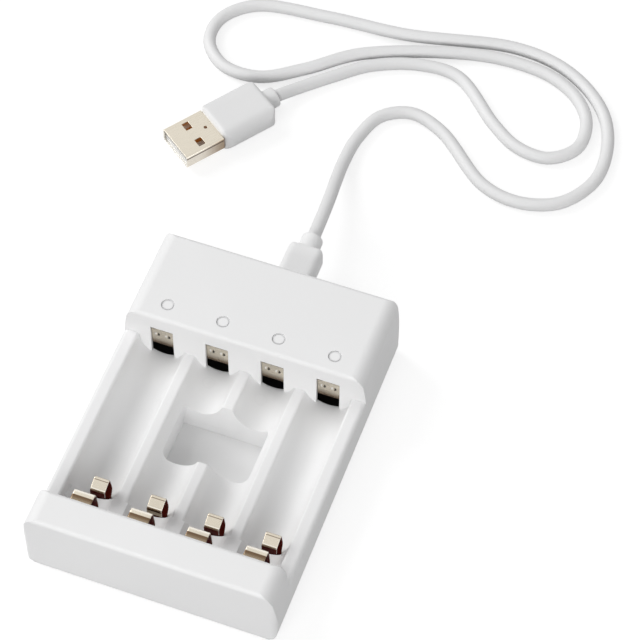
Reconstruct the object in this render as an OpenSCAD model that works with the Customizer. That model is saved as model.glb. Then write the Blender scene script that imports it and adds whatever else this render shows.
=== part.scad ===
// Battery charger with four bays for AA and AAA cells, and the white lead that feeds it.
// Millimetres. X runs across the bays, Y towards the end with the lead, Z up.
// The origin is the middle of the charger's underside.

/* [Body] */
// Width across the four bays, where the sides swell most
body_width = 65; // [64:0.1:70]
// Length from the foot to the head
body_length = 90; // [88:0.5:96]
// Height of the head and the foot
body_height = 21.6; // [20:0.1:26]
// Depth of the head block that holds the electronics
head_depth = 26; // [24:0.5:32]
// Depth of the low block at the foot
foot_depth = 9.5; // [8:0.1:12]
// Height of the rims beside the outer bays
rim_height = 12.9; // [11:0.1:15]
// Height of the line where the cover meets the shell
seam_height = 1.9; // [1.6:0.1:3]
// How far the cover stands in from the shell
seam_inset = 0.3; // [0.1:0.05:0.5]
// Radius of the gentle swell of the sides, seen from the front
side_swell_radius = 75; // [60:1:200]
// Height at which the sides are widest
side_swell_height = 7; // [5:0.1:9]
// Radius of the upper long edges
top_edge_radius = 3.6; // [2:0.1:6]
// Radius of the lower long edges
low_edge_radius = 4; // [2:0.1:5]
// Radius on the outer edge of the rims
rim_edge_radius = 1.3; // [0.5:0.1:2]
// Radius on the short edges, seen from the side
short_edge_radius = 1; // [0.4:0.1:2]
// Radius of the upright corners
upright_radius = 1.8; // [0.5:0.1:4]
// Thickness of the shell's walls
wall = 1.8; // [1.2:0.1:2.4]

/* [Bays] */
// Width of the body at each side that no bay takes
side_margin = 2.9; // [2.6:0.1:3.8]
// Half the width of a divider where it parts two troughs
divider_half = 1.2; // [1:0.1:1.6]
// Height of the trough's axis
trough_axis_height = 11.5; // [10:0.1:13]
// Height of the dividers between the bays
divider_height = 9.8; // [8:0.1:12]
// Radius on the shoulders of the dividers
shoulder_radius = 0.8; // [0.4:0.1:1]
// Thickness of plastic under the troughs
trough_skin = 1.6; // [1.2:0.1:2]
// Length of the raised ledge in front of the foot
ledge_length = 9.3; // [6:0.1:12]
// Half the width of the line between two hollows of the ledge
ledge_line_half = 0.1; // [0.05:0.05:0.3]
// Height of a large cell's axis over the ledge
ledge_axis_height = 14.6; // [13:0.1:15]

/* [Finger opening] */
// How far the opening that lets a finger push the cells out stays clear of the outer bays' middles
finger_side = 10.8; // [9:0.1:13]
// Front edge of the opening
finger_front = -9.4; // [-14:0.1:-4]
// Back edge of the opening at the top
finger_back = 7.2; // [4:0.1:12]
// How far the back wall leans in from top to bottom
finger_lean = 2; // [0:0.1:4]
// Radius of the opening's corners
finger_corner_radius = 2.2; // [1:0.1:4]

/* [Plus contacts] */
// Width of the plus contact plates
plus_width = 5.9; // [5:0.1:7]
// Room beside a plate in its window
plus_side_gap = 0.1; // [0.05:0.05:0.5]
// Thickness that the wall keeps round the windows
window_wall = 0.9; // [0.8:0.1:1.4]
// Height of the top of the windows
window_top = 17; // [15:0.1:19]
// Recess of the plates behind the wall's face
plus_recess = 0.5; // [0.3:0.1:1]
// Thickness of the contact sheet
sheet = 0.4; // [0.3:0.05:0.6]
// Outer radius of the bend towards the board
plus_bend_radius = 1.6; // [1.2:0.1:1.9]
// Radius of the two raised points on each plate
point_radius = 0.6; // [0.4:0.05:0.9]
// Distance of each point from the middle of the plate
point_offset = 1.4; // [1:0.1:2]
// Height of the raised points
point_height = 13.9; // [12:0.1:16]

/* [Minus contacts] */
// Width of the large cell's leaf
large_leaf_width = 5.4; // [4:0.1:7]
// Sideways offset of the large cell's leaf in its bay
large_leaf_offset = 0.5; // [-1:0.1:1]
// Width of the small cell's leaf
small_leaf_width = 3.9; // [3:0.1:5]
// Sideways offset of the small cell's leaf in its bay
small_leaf_offset = 2.1; // [-1:0.1:2.4]
// Room round a leaf in its slot
leaf_gap = 0.2; // [0.2:0.05:0.6]
// Travel of the small cell's leaf
small_leaf_travel = 1; // [0.8:0.1:1.4]

/* [Lamps] */
// Radius of the lamp holes in the head
lamp_hole_radius = 1.7; // [1.5:0.05:2.5]
// Width of the ring groove round a light pipe's top
lamp_ring_width = 0.35; // [0.1:0.05:0.4]
// Depth of the ring groove below a light pipe's top
lamp_ring_depth = 0.15; // [0.1:0.05:0.6]
// Distance of the lamps behind the head's front face
lamp_setback = 5; // [4:0.1:8]
// How far a light pipe stands below the surface
lamp_sink = 0.15; // [0:0.05:0.4]

/* [Board] */
// Thickness of the circuit board
board_thickness = 1.6; // [1:0.2:1.6]
// Height of the board's upper face
board_top = 9.4; // [8:0.1:11]
// Distance of the board's ends from the outer sides
board_side = 5.1; // [4.7:0.1:6.4]
// Room between the board and the shell
board_gap = 0.3; // [0.2:0.05:0.6]

/* [Lead] */
// Sideways place of the socket and its plug
socket_x = 2.1; // [-4:0.1:4]
// Width of the small plug's metal shell
small_shell_width = 6.85; // [6.8:0.05:6.9]
// Height of the small plug's metal shell
small_shell_height = 1.85; // [1.8:0.05:1.9]
// Sheet thickness of the small plug's shell
small_shell_sheet = 0.25; // [0.2:0.05:0.3]
// Length of the small plug's shell
small_shell_length = 6.5; // [6:0.1:7]
// Room between the small plug's shell and the socket
socket_gap = 0.1; // [0.05:0.01:0.2]
// Width of the small plug's grip
small_grip_width = 9.6; // [9:0.1:12]
// Thickness of the small plug's grip
small_grip_thickness = 6.4; // [5:0.1:8]
// Length of the small plug's grip
small_grip_length = 13.5; // [12:0.1:20]
// Width of the large plug's metal shell
large_shell_width = 12; // [11.9:0.05:12.1]
// Height of the large plug's metal shell
large_shell_height = 4.5; // [4.4:0.05:4.6]
// Length of the large plug's shell outside the grip
large_shell_length = 11.9; // [11.7:0.05:12.5]
// Width of the large plug's grip
large_grip_width = 14.6; // [14:0.1:17]
// Thickness of the large plug's grip
large_grip_thickness = 7.5; // [7:0.1:9]
// Length of the large plug's grip
large_grip_length = 17; // [14:0.1:22]
// Angle of the large plug, as it lies beside the lead
large_plug_angle = 54.3; // [0:0.1:90]
// Length of the short collar behind the small plug's grip
small_collar_length = 4.2; // [3:0.1:6]
// Length of the short collar behind the large plug's grip
collar_length = 3.4; // [3:0.1:6]
// Radius of the collars
collar_radius = 2.9; // [2.2:0.1:3.4]
// Diameter of the lead
lead_diameter = 3.5; // [3:0.1:4.5]

/* [Hidden] */
$fn = 64;
overrun = 0.5;

// places worked out from the sizes above
half_width = body_width / 2;
half_length = body_length / 2;
swell_x = half_width - side_swell_radius;
rim_blend = 0.01;
head_front = half_length - head_depth;
foot_back = -half_length + foot_depth;
bay_pitch = (body_width - 2 * side_margin) / 4;
trough_radius = bay_pitch / 2 - divider_half;
ledge_radius = bay_pitch / 2 - ledge_line_half;
bay_places = [-1.5 * bay_pitch, -0.5 * bay_pitch, 0.5 * bay_pitch, 1.5 * bay_pitch];
outer_bay = bay_places[3];
ledge_start = foot_back + ledge_length;
under_top = divider_height - trough_skin;
finger_half_width = outer_bay - finger_side;
board_low = board_top - board_thickness;
board_half_width = half_width - board_side;
inner_front = head_front + wall;
inner_back = half_length - wall;
inner_top = body_height - wall;
lamp_y = head_front + lamp_setback;

// shoulder circle that meets both the divider's top and the trough
shoulder_z = divider_height - shoulder_radius;
shoulder_reach = trough_radius + shoulder_radius;
shoulder_drop = trough_axis_height - shoulder_z;
shoulder_x = sqrt(shoulder_reach * shoulder_reach - shoulder_drop * shoulder_drop);
touch_x = shoulder_x * trough_radius / shoulder_reach;
touch_z = trough_axis_height - shoulder_drop * trough_radius / shoulder_reach;

// fastening
screw_radius = 1.1;
screw_play = 0.05;
screw_head_radius = 2.2;
screw_head_play = 0.2;
screw_head_height = 1.1;
screw_sink = 0.1;
screw_length = 8;
boss_radius = 2.6;
boss_top = 12;
foot_boss_inset = 4.2;
head_boss_inset = 4.2;
head_boss_side = 7.7;
head_boss_x = half_width - head_boss_side;
boss_places = [[-bay_pitch, -half_length + foot_boss_inset], [bay_pitch, -half_length + foot_boss_inset],
    [-head_boss_x, half_length - head_boss_inset], [head_boss_x, half_length - head_boss_inset]];
cross_length = 2.4;
cross_width = 0.6;
cross_depth = 0.6;

// board and what sits on it
board_setback = 1.5;
board_front = inner_front + board_setback;
board_back = inner_back - board_gap;
post_radius = 1.7;
post_inset = 7;
front_post_x = 12;
back_post_x = 16;
post_places = [[-front_post_x, head_front + post_inset], [front_post_x, head_front + post_inset],
    [-back_post_x, half_length - post_inset], [back_post_x, half_length - post_inset]];
stop_inset = 6;
left_stop_x = -12;
right_stop_x = 14;
stop_places = [[left_stop_x, half_length - stop_inset], [right_stop_x, half_length - stop_inset]];
stop_radius = 1.4;
chip_size = [6, 5, 1.5];
chip_x = -9;
chip_setback = 14;
chip_place = [chip_x, head_front + chip_setback];
regulator_size = [3, 1.8, 1.1];
regulator_setback = 10;
regulator_y = head_front + regulator_setback;
capacitor_radius = 2.5;
capacitor_room = 3.4;
capacitor_height = inner_top - board_top - capacitor_room;
capacitor_side = 8.4;
capacitor_inset = 10;
capacitor_place = [capacitor_side - board_half_width, half_length - capacitor_inset];
led_size = [2, 1.2, 0.8];
pipe_low_gap = 0.8;
pipe_play = 0.03;
pipe_flange_radius = 2.6;
pipe_flange = 1;

// plus contacts
plus_y = head_front + plus_recess;
plus_plate_gap = 0.3;
pocket_side = 0.9;
plus_foot_length = 2.1;
point_sink = 0.3;

// minus contacts, each a path of distances behind the foot's wall and of heights
large_leaf_path = [[-0.9, 2.6], [-0.9, 16.4], [-0.7, 17], [-0.2, 17.4], [3.9, 17.4], [4.4, 17.3],
    [4.7, 16.8], [5.3, 12.6], [5.4, 11.6], [5.4, 10.8], [5.1, 9.8], [4.3, 8.8]];
small_leaf_path = [[10.6, 2.6], [10.6, 7], [11.5, 8.6], [11.8, 9.6], [11.8, 10.5], [11.15, 14.1],
    [10.9, 14.6], [10.45, 14.72], [8.2, 13.82], [7.85, 13.6], [7.75, 13.2], [7.7, 11.6]];
leaf_window_top = 18;
slot_front = foot_back + small_leaf_path[0][0] - sheet / 2 - small_leaf_travel - leaf_gap;
slot_back = foot_back + small_leaf_path[0][0] + sheet / 2 + leaf_gap;
strap_sheet = 0.3;
strap_gap = 0.2;
strap_front = -half_length + foot_boss_inset + boss_radius + strap_gap;
strap_bar_reach = 0.1;
strap_bar_back = foot_back + strap_bar_reach;
strap_reach = 11.7;
strap_back = foot_back + strap_reach;
strap_end = 5.4;
strap_half_width = outer_bay + strap_end;
strap_finger_width = 5;
wire_radius = 0.6;
wire_side = 4.8;
wire_x = outer_bay + wire_side;
wire_joint = 1.2;
wire_start = strap_front + wire_joint;
wire_rise_setback = 1.1;
wire_rise_y = board_front + wire_rise_setback;

// socket
socket_sheet = 0.3;
socket_inner_width = small_shell_width + 2 * socket_gap;
socket_inner_height = small_shell_height + 2 * socket_gap;
socket_width = socket_inner_width + 2 * socket_sheet;
socket_height = socket_inner_height + 2 * socket_sheet;
socket_z = board_top + socket_height / 2;
socket_setback = 0.3;
socket_mouth = half_length - socket_setback;
socket_depth = 6.4;
socket_hole_gap = 0.3;
tongue_width = 3.5;
tongue_sheet = 0.6;
tongue_length = 4.6;

// small plug
grip_gap = 0.3;
small_grip_start = half_length + grip_gap;
small_grip_end = small_grip_start + small_grip_length;
small_collar_end = small_grip_end + small_collar_length;
small_grip_edge = 2;
small_grip_corner = 1.7;
small_grip_rounding = 1;
small_shell_radius = 0.4;

// large plug, along its own axis from the tip
large_tip = behind([-44.63, 37.88, large_grip_thickness / 2]);
large_shell_sheet = 0.3;
large_shell_radius = 0.6;
large_grip_edge = 3.4;
large_grip_corner = 3.2;
large_grip_rounding = 1.2;
latch_length = 2;
latch_width = 2.6;
latch_along = 5.9;
latch_across = 3.2;
dot_radius = 0.5;
dot_place = [9.8, 0.1];
large_tongue_start = 0.5;
large_tongue_width = large_shell_width - 2 * large_shell_radius;
large_tongue_height = 1.8;
pin_width = 1;
pin_height = 0.2;
pin_start = 1.6;
pin_length = 7.5;
pin_places = [-3.5, -1, 1, 3.5];
large_grip_end = large_shell_length + large_grip_length;
large_collar_end = large_grip_end + collar_length;
large_way = [cos(large_plug_angle), sin(large_plug_angle), 0];

// route of the lead, from the small plug to the large one, with Y measured from the charger's back
lie = lead_diameter / 2;
lead_start = [socket_x, small_collar_end, socket_z];
lead_end = large_tip + large_collar_end * large_way;
route = [[1, 33, 7.8], [-0.2, 42.5, 4.8], [-1, 51, 2.4], [-0.5, 59.5, lie], [3, 69, lie], [10.5, 73, lie],
    [20, 70, lie], [36.5, 56.5, lie], [47, 54.3, lie], [57.5, 58, lie], [64, 68, lie], [64.3, 79, lie],
    [60.8, 89.3, lie], [54, 97.1, lie], [43.6, 103, lie], [30, 104.9, lie], [0, 98.9, lie],
    [-22, 97.4, lie], [-43, 94.2, lie], [-50.5, 86.3, lie], [-50.4, 77.5, lie], [-43.5, 70.8, lie],
    [-33, 70.5, lie], [-22, 77.6, lie], [-9.5, 87.9, lie], [18, 98.2, lie], [32, 99.9, lie], [43, 98.4, lie],
    [51.3, 93.7, lie], [56.3, 86.4, lie], [56.4, 77, lie], [50, 71.2, lie], [41, 71.9, lie],
    [33, 77, lie], [18.5, 89.6, lie], [8, 90.1, lie], [-5, 85.2, lie], [-14.5, 77.2, lie],
    [-21.6, 69.9, 2.3]];
lead_sides = 8;
ring_spacing = 6.6;

// a place measured from the charger's back
function behind(place) = [place[0], half_length + place[1], place[2]];

// helpers for shapes

// a flat shape drawn in X and Z, pushed along Y
module along_y(y0, y1) {
    translate([0, y1, 0]) rotate([90, 0, 0]) linear_extrude(height = y1 - y0) children();
}

// a flat shape drawn in Y and Z, pushed along X
module along_x(x0, x1) {
    translate([x0, 0, 0]) rotate([90, 0, 90]) linear_extrude(height = x1 - x0) children();
}

module box(low, high) {
    translate(low) cube(high - low);
}

module post(place, z0, z1, r) {
    translate([place[0], place[1], z0]) cylinder(h = z1 - z0, r = r);
}

// a rectangle with one radius at its lower and one at its upper corners
module outline(x0, x1, z0, z1, r0, r1) {
    translate([x0, z0 + r0]) square([x1 - x0, z1 - z0 - r0 - r1]);
    translate([x0 + r0, z0]) square([x1 - x0 - 2 * r0, z1 - z0 - r1]);
    translate([x0 + r1, z0 + r0]) square([x1 - x0 - 2 * r1, z1 - z0 - r0]);
    for (x = [x0 + r0, x1 - r0]) {
        translate([x, z0 + r0]) circle(r = r0);
    }
    for (x = [x0 + r1, x1 - r1]) {
        translate([x, z1 - r1]) circle(r = r1);
    }
}

// the charger's front view, drawn in by inset: swelling sides that run smoothly into all four corners
module swelling(inset, z0, z1, r0, r1) {
    difference() {
        intersection() {
            translate([-half_width, z0]) square([body_width, z1 - z0]);
            translate([swell_x, side_swell_height]) circle(r = side_swell_radius - inset, $fn = 720);
            translate([-swell_x, side_swell_height]) circle(r = side_swell_radius - inset, $fn = 720);
        }
        for (s = [-1, 1]) {
            corner_waste(s, inset, z1 - r1, r1, 1);
            corner_waste(s, inset, z0 + r0, r0, -1);
        }
    }
}

// the waste outside one corner's circle, which touches the swelling side and the flat top or bottom
module corner_waste(side, inset, z, r, up) {
    reach = side_swell_radius - inset - r;
    rise = z - side_swell_height;
    x = swell_x + sqrt(reach * reach - rise * rise);
    lean = asin(rise / reach);
    far = 2 * r;
    difference() {
        polygon([[side * x, z], [side * (x + far * cos(lean)), z + far * sin(lean)],
            [side * (x + far), z + up * far], [side * x, z + up * far]]);
        translate([side * x, z]) circle(r = r);
    }
}

// a block with its own radius on the edges along each of its three directions
module soft_block(length, width, height, r_along, r_plan, r_side) {
    intersection() {
        along_x(0, length) outline(-width / 2, width / 2, -height / 2, height / 2, r_along, r_along);
        translate([0, 0, -height / 2]) linear_extrude(height = height)
            outline(0, length, -width / 2, width / 2, r_plan, r_plan);
        along_y(-width / 2, width / 2) outline(0, length, -height / 2, height / 2, r_side, r_side);
    }
}

// a bent strip of sheet, from a path through the middle of its thickness
function unit(v) = v / norm(v);
function side_of(a, b) = let (d = unit(b - a)) [-d[1], d[0]];
function strip_side(path, i) = let (n = len(path) - 1,
    a = side_of(path[max(i - 1, 0)], path[max(i, 1)]),
    b = side_of(path[min(i, n - 1)], path[min(i + 1, n)]),
    m = unit(a + b)) m / (m * a);

module strip(path, t) {
    n = len(path) - 1;
    polygon(concat([for (i = [0:n]) path[i] + strip_side(path, i) * t / 2],
        [for (i = [n:-1:0]) path[i] - strip_side(path, i) * t / 2]));
}

// the charger's body

// the outer form, drawn in by inset on every upright side
module body_form(inset) {
    intersection() {
        difference() {
            along_y(-half_length, half_length) swelling(inset, 0, body_height, low_edge_radius, top_edge_radius);
            along_y(foot_back, head_front) {
                translate([-half_width, rim_height]) square([body_width, body_height]);
                for (s = [-1, 1]) {
                    corner_waste(s, inset - rim_blend, rim_height - rim_edge_radius, rim_edge_radius, 1);
                }
            }
        }
        linear_extrude(height = body_height)
            outline(-half_width + inset, half_width - inset, -half_length + inset, half_length - inset,
                upright_radius, upright_radius);
        along_x(-half_width, half_width) {
            outline(-half_length + inset, half_length - inset, 0, rim_height, short_edge_radius, short_edge_radius);
            outline(-half_length + inset, foot_back, 0, body_height, short_edge_radius, short_edge_radius);
            outline(head_front, half_length - inset, 0, body_height, short_edge_radius, short_edge_radius);
        }
    }
}

// a little corner piece that leaves a rounded shoulder
module shoulder_cut(x0, x1, z0, z1, cx, cz, r) {
    difference() {
        translate([min(x0, x1), z0]) square([abs(x1 - x0), z1 - z0]);
        translate([cx, cz]) circle(r = r);
    }
}

// open space of the four bays, drawn in X and Z
module bay_space() {
    for (x = bay_places) {
        translate([x, trough_axis_height]) circle(r = trough_radius);
    }
    translate([-outer_bay - trough_radius, trough_axis_height])
        square([2 * (outer_bay + trough_radius), body_height]);
    translate([-outer_bay, divider_height]) square([2 * outer_bay, body_height]);
    for (x = bay_places, s = [-1, 1]) {
        if (abs(x + s * bay_pitch) <= outer_bay) {
            shoulder_cut(x + s * touch_x, x + s * shoulder_x, touch_z, divider_height + overrun,
                x + s * shoulder_x, shoulder_z, shoulder_radius);
        }
    }
    for (s = [-1, 1]) {
        shoulder_cut(s * (outer_bay + trough_radius - overrun), s * (outer_bay + trough_radius + shoulder_radius),
            rim_height - shoulder_radius, rim_height + overrun,
            s * (outer_bay + trough_radius + shoulder_radius), rim_height - shoulder_radius, shoulder_radius);
    }
}

// the same space over the raised ledge, where only a large cell reaches
module ledge_space() {
    intersection() {
        bay_space();
        union() {
            for (x = bay_places) {
                translate([x, ledge_axis_height]) circle(r = ledge_radius);
            }
            translate([-half_width, divider_height]) square([body_width, body_height]);
        }
    }
}

module finger_space(grow) {
    intersection() {
        translate([0, 0, -overrun]) linear_extrude(height = divider_height + 2 * overrun + grow)
            outline(-finger_half_width - grow, finger_half_width + grow, finger_front - grow, finger_back + grow,
                finger_corner_radius + grow, finger_corner_radius + grow);
        along_x(-finger_half_width - grow - overrun, finger_half_width + grow + overrun)
            polygon([[finger_front - grow - overrun, -overrun],
                [finger_back - finger_lean + grow, -overrun],
                [finger_back + grow, divider_height],
                [finger_back + grow, divider_height + 2 * overrun + grow],
                [finger_front - grow - overrun, divider_height + 2 * overrun + grow]]);
    }
}

// everything hollow inside the shell
module inner_space() {
    difference() {
        along_y(-half_length + wall, inner_back)
            swelling(wall, -overrun, inner_top, overrun, top_edge_radius - wall / 2);
        along_y(foot_back - wall, inner_front) {
            translate([-half_width, under_top]) square([body_width, body_height]);
            for (x = bay_places) {
                translate([x, trough_axis_height]) circle(r = trough_radius + trough_skin);
            }
        }
    }
}

// plastic left standing inside the hollow
module fittings() {
    finger_space(trough_skin);
    for (p = boss_places) {
        post(p, 0, boss_top, boss_radius);
    }
    for (p = stop_places) {
        post(p, board_top, body_height - overrun, stop_radius);
    }
}

module plus_window() {
    along_y(head_front - overrun, inner_front + overrun) {
        intersection() {
            union() {
                bay_space();
            }
            for (x = bay_places) {
                translate([x - plus_width / 2 - plus_side_gap, 0])
                    square([plus_width + 2 * plus_side_gap, window_top]);
            }
        }
    }
}

// pocket inside the wall that leaves it thin round the windows
module window_pocket() {
    reach = plus_width / 2 + plus_side_gap + pocket_side;
    low = trough_axis_height - trough_radius - trough_skin - overrun;
    for (x = bay_places) {
        box([x - reach, head_front + window_wall, low], [x + reach, inner_front + overrun, window_top + pocket_side]);
    }
}

module upper_housing() {
    color("white")
    difference() {
        body_form(0);
        translate([-half_width, -half_length, -overrun]) cube([body_width, body_length, seam_height + overrun]);
        along_y(ledge_start, head_front) bay_space();
        along_y(foot_back, ledge_start + overrun) ledge_space();
        plus_window();
        window_pocket();
        difference() {
            inner_space();
            fittings();
        }
        finger_space(0);
        for (x = bay_places) {
            box([x + large_leaf_offset - large_leaf_width / 2 - leaf_gap, foot_back - wall - overrun, 0],
                [x + large_leaf_offset + large_leaf_width / 2 + leaf_gap, foot_back + overrun, leaf_window_top]);
            box([x + small_leaf_offset - small_leaf_width / 2 - leaf_gap, slot_front, 0],
                [x + small_leaf_offset + small_leaf_width / 2 + leaf_gap, slot_back, divider_height]);
            post([x, lamp_y], inner_top - overrun, body_height + overrun, lamp_hole_radius);
        }
        for (p = boss_places) {
            post(p, 0, screw_length + screw_head_height, screw_radius + screw_play);
        }
        along_y(inner_back - overrun, half_length + overrun)
            outline(socket_x - socket_width / 2 - socket_hole_gap, socket_x + socket_width / 2 + socket_hole_gap,
                board_top - socket_hole_gap, board_top + socket_height + socket_hole_gap,
                small_shell_radius, small_shell_radius);
    }
}

module bottom_cover() {
    color("white")
    difference() {
        union() {
            intersection() {
                body_form(seam_inset);
                translate([-half_width, -half_length, 0]) cube([body_width, body_length, seam_height]);
            }
            for (p = post_places) {
                post(p, 0, board_low, post_radius);
            }
        }
        finger_space(0);
        for (p = boss_places) {
            post(p, -overrun, seam_height + overrun, screw_radius + screw_play);
            post(p, -overrun, screw_head_height + screw_sink, screw_head_radius + screw_head_play);
        }
    }
}

module cover_screws() {
    color("silver")
    for (p = boss_places) {
        difference() {
            union() {
                post(p, screw_sink, screw_sink + screw_head_height, screw_head_radius);
                post(p, screw_sink, screw_sink + screw_length, screw_radius);
            }
            translate([p[0], p[1], screw_sink]) {
                for (a = [0, 90]) {
                    rotate([0, 0, a]) translate([-cross_length / 2, -cross_width / 2, -overrun])
                        cube([cross_length, cross_width, cross_depth + overrun]);
                }
            }
        }
    }
}

// the board and its pieces

module circuit_board() {
    color("seagreen")
    difference() {
        box([-board_half_width, board_front, board_low], [board_half_width, board_back, board_top]);
        for (p = boss_places) {
            post(p, 0, body_height, boss_radius + board_gap);
        }
        for (s = [-1, 1]) {
            box([min(s * head_boss_x, s * half_width), half_length - head_boss_inset, 0],
                [max(s * head_boss_x, s * half_width), half_length, body_height]);
        }
    }
}

module charge_controller() {
    color("dimgray")
    translate([chip_place[0], chip_place[1], board_top]) cube(chip_size);
}

module current_regulators() {
    color("dimgray")
    for (x = bay_places) {
        translate([x - regulator_size[0] / 2, regulator_y, board_top]) cube(regulator_size);
    }
}

module smoothing_capacitor() {
    color("slategray")
    post(capacitor_place, board_top, board_top + capacitor_height, capacitor_radius);
}

module status_leds() {
    color("palegreen")
    for (x = bay_places) {
        translate([x - led_size[0] / 2, lamp_y - led_size[1] / 2, board_top]) cube(led_size);
    }
}

module light_pipe(i) {
    color("ghostwhite") {
        place = [bay_places[i - 1], lamp_y];
        pipe_top = body_height - lamp_sink;
        pipe_low = board_top + led_size[2] + pipe_low_gap;
        post(place, pipe_low, pipe_top - lamp_ring_depth, lamp_hole_radius - pipe_play);
        post(place, pipe_top - 2 * lamp_ring_depth, pipe_top, lamp_hole_radius - lamp_ring_width);
        post(place, inner_top - pipe_flange, inner_top, pipe_flange_radius);
    }
}

// the contacts

module plus_contact(i) {
    bend_y = plus_y + plus_bend_radius;
    bend_z = board_top + plus_bend_radius;
    x = bay_places[i - 1];
    color("tan") {
        along_x(x - plus_width / 2, x + plus_width / 2) {
            translate([plus_y, bend_z]) square([sheet, window_top - plus_plate_gap - bend_z]);
            translate([bend_y, board_top]) square([plus_foot_length, sheet]);
            intersection() {
                difference() {
                    translate([bend_y, bend_z]) circle(r = plus_bend_radius);
                    translate([bend_y, bend_z]) circle(r = plus_bend_radius - sheet);
                }
                translate([plus_y, board_top]) square([plus_bend_radius, plus_bend_radius]);
            }
        }
        for (s = [-1, 1]) {
            difference() {
                translate([x + s * point_offset, plus_y + point_sink, point_height]) sphere(r = point_radius);
                box([x - plus_width, plus_y + sheet / 2, point_height - 2 * point_radius],
                    [x + plus_width, plus_y + 2 * point_radius, point_height + 2 * point_radius]);
            }
        }
    }
}

module large_cell_leaf(i) {
    x = bay_places[i - 1] + large_leaf_offset;
    color("tan")
    translate([0, foot_back, 0]) along_x(x - large_leaf_width / 2, x + large_leaf_width / 2)
        strip(large_leaf_path, sheet);
}

module small_cell_leaf(i) {
    x = bay_places[i - 1] + small_leaf_offset;
    color("tan")
    translate([0, foot_back, 0]) along_x(x - small_leaf_width / 2, x + small_leaf_width / 2)
        strip(small_leaf_path, sheet);
}

module return_strap() {
    color("tan")
    translate([0, 0, seam_height]) linear_extrude(height = strap_sheet) {
        translate([-strap_half_width, strap_front]) square([2 * strap_half_width, strap_bar_back - strap_front]);
        for (x = bay_places) {
            translate([x + small_leaf_offset - strap_finger_width / 2, strap_front])
                square([strap_finger_width, strap_back - strap_front]);
        }
    }
}

module return_wire() {
    wire_z = seam_height + strap_sheet + wire_radius;
    color("black") {
        translate([wire_x, wire_start, wire_z]) rotate([-90, 0, 0])
            cylinder(h = wire_rise_y - wire_start, r = wire_radius);
        translate([wire_x, wire_rise_y, wire_z]) sphere(r = wire_radius);
        post([wire_x, wire_rise_y], wire_z, board_low, wire_radius);
    }
}

// the socket and the lead

module input_socket() {
    color("silver")
    difference() {
        along_y(socket_mouth - socket_depth, socket_mouth)
            outline(socket_x - socket_width / 2, socket_x + socket_width / 2, board_top, board_top + socket_height,
                small_shell_radius + socket_sheet, small_shell_radius + socket_sheet);
        along_y(socket_mouth - socket_depth + socket_sheet, socket_mouth + overrun)
            outline(socket_x - socket_inner_width / 2, socket_x + socket_inner_width / 2,
                socket_z - socket_inner_height / 2, socket_z + socket_inner_height / 2,
                small_shell_radius, small_shell_radius);
    }
}

module socket_tongue() {
    back = socket_mouth - socket_depth + socket_sheet;
    color("dimgray")
    box([socket_x - tongue_width / 2, back, socket_z - tongue_sheet / 2],
        [socket_x + tongue_width / 2, back + tongue_length, socket_z + tongue_sheet / 2]);
}

module small_plug_shell() {
    color("silver")
    along_y(small_grip_start - small_shell_length, small_grip_start) {
        difference() {
            outline(socket_x - small_shell_width / 2, socket_x + small_shell_width / 2,
                socket_z - small_shell_height / 2, socket_z + small_shell_height / 2,
                small_shell_radius, small_shell_radius);
            outline(socket_x - small_shell_width / 2 + small_shell_sheet,
                socket_x + small_shell_width / 2 - small_shell_sheet,
                socket_z - small_shell_height / 2 + small_shell_sheet,
                socket_z + small_shell_height / 2 - small_shell_sheet,
                small_shell_radius - small_shell_sheet, small_shell_radius - small_shell_sheet);
        }
    }
}

module small_plug_grip() {
    color("whitesmoke")
    translate([socket_x, small_grip_start, socket_z]) rotate([0, 0, 90]) {
        soft_block(small_grip_length, small_grip_width, small_grip_thickness,
            small_grip_edge, small_grip_corner, small_grip_rounding);
        translate([small_grip_length - small_grip_rounding, 0, 0]) rotate([0, 90, 0])
            cylinder(h = small_collar_length + small_grip_rounding, r = collar_radius);
    }
}

module large_plug_frame() {
    translate(large_tip) rotate([0, 0, large_plug_angle]) children();
}

module large_plug_shell() {
    color("tan")
    large_plug_frame() {
        difference() {
            along_x(0, large_shell_length)
                outline(-large_shell_width / 2, large_shell_width / 2, -large_shell_height / 2, large_shell_height / 2,
                    large_shell_radius, large_shell_radius);
            along_x(-overrun, large_shell_length + overrun)
                outline(-large_shell_width / 2 + large_shell_sheet, large_shell_width / 2 - large_shell_sheet,
                    -large_shell_height / 2 + large_shell_sheet, large_shell_height / 2 - large_shell_sheet,
                    large_shell_radius - large_shell_sheet, large_shell_radius - large_shell_sheet);
            for (s = [-1, 1]) {
                box([latch_along - latch_length / 2, s * latch_across - latch_width / 2, -large_shell_height],
                    [latch_along + latch_length / 2, s * latch_across + latch_width / 2, large_shell_height]);
            }
            translate(dot_place) cylinder(h = large_shell_height, r = dot_radius);
        }
    }
}

module large_plug_tongue() {
    low = -large_shell_height / 2 + large_shell_sheet;
    color("white")
    large_plug_frame() {
        box([large_tongue_start, -large_tongue_width / 2, low],
            [large_shell_length, large_tongue_width / 2, low + large_tongue_height]);
    }
}

module large_plug_pins() {
    top = -large_shell_height / 2 + large_shell_sheet + large_tongue_height;
    color("gold")
    large_plug_frame() {
        for (y = pin_places) {
            box([pin_start, y - pin_width / 2, top], [pin_start + pin_length, y + pin_width / 2, top + pin_height]);
        }
    }
}

module large_plug_grip() {
    color("whitesmoke")
    large_plug_frame() {
        translate([large_shell_length, 0, 0]) {
            soft_block(large_grip_length, large_grip_width, large_grip_thickness,
                large_grip_edge, large_grip_corner, large_grip_rounding);
            translate([large_grip_length - large_grip_rounding, 0, 0]) rotate([0, 90, 0])
                cylinder(h = collar_length + large_grip_rounding, r = collar_radius);
        }
    }
}

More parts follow.
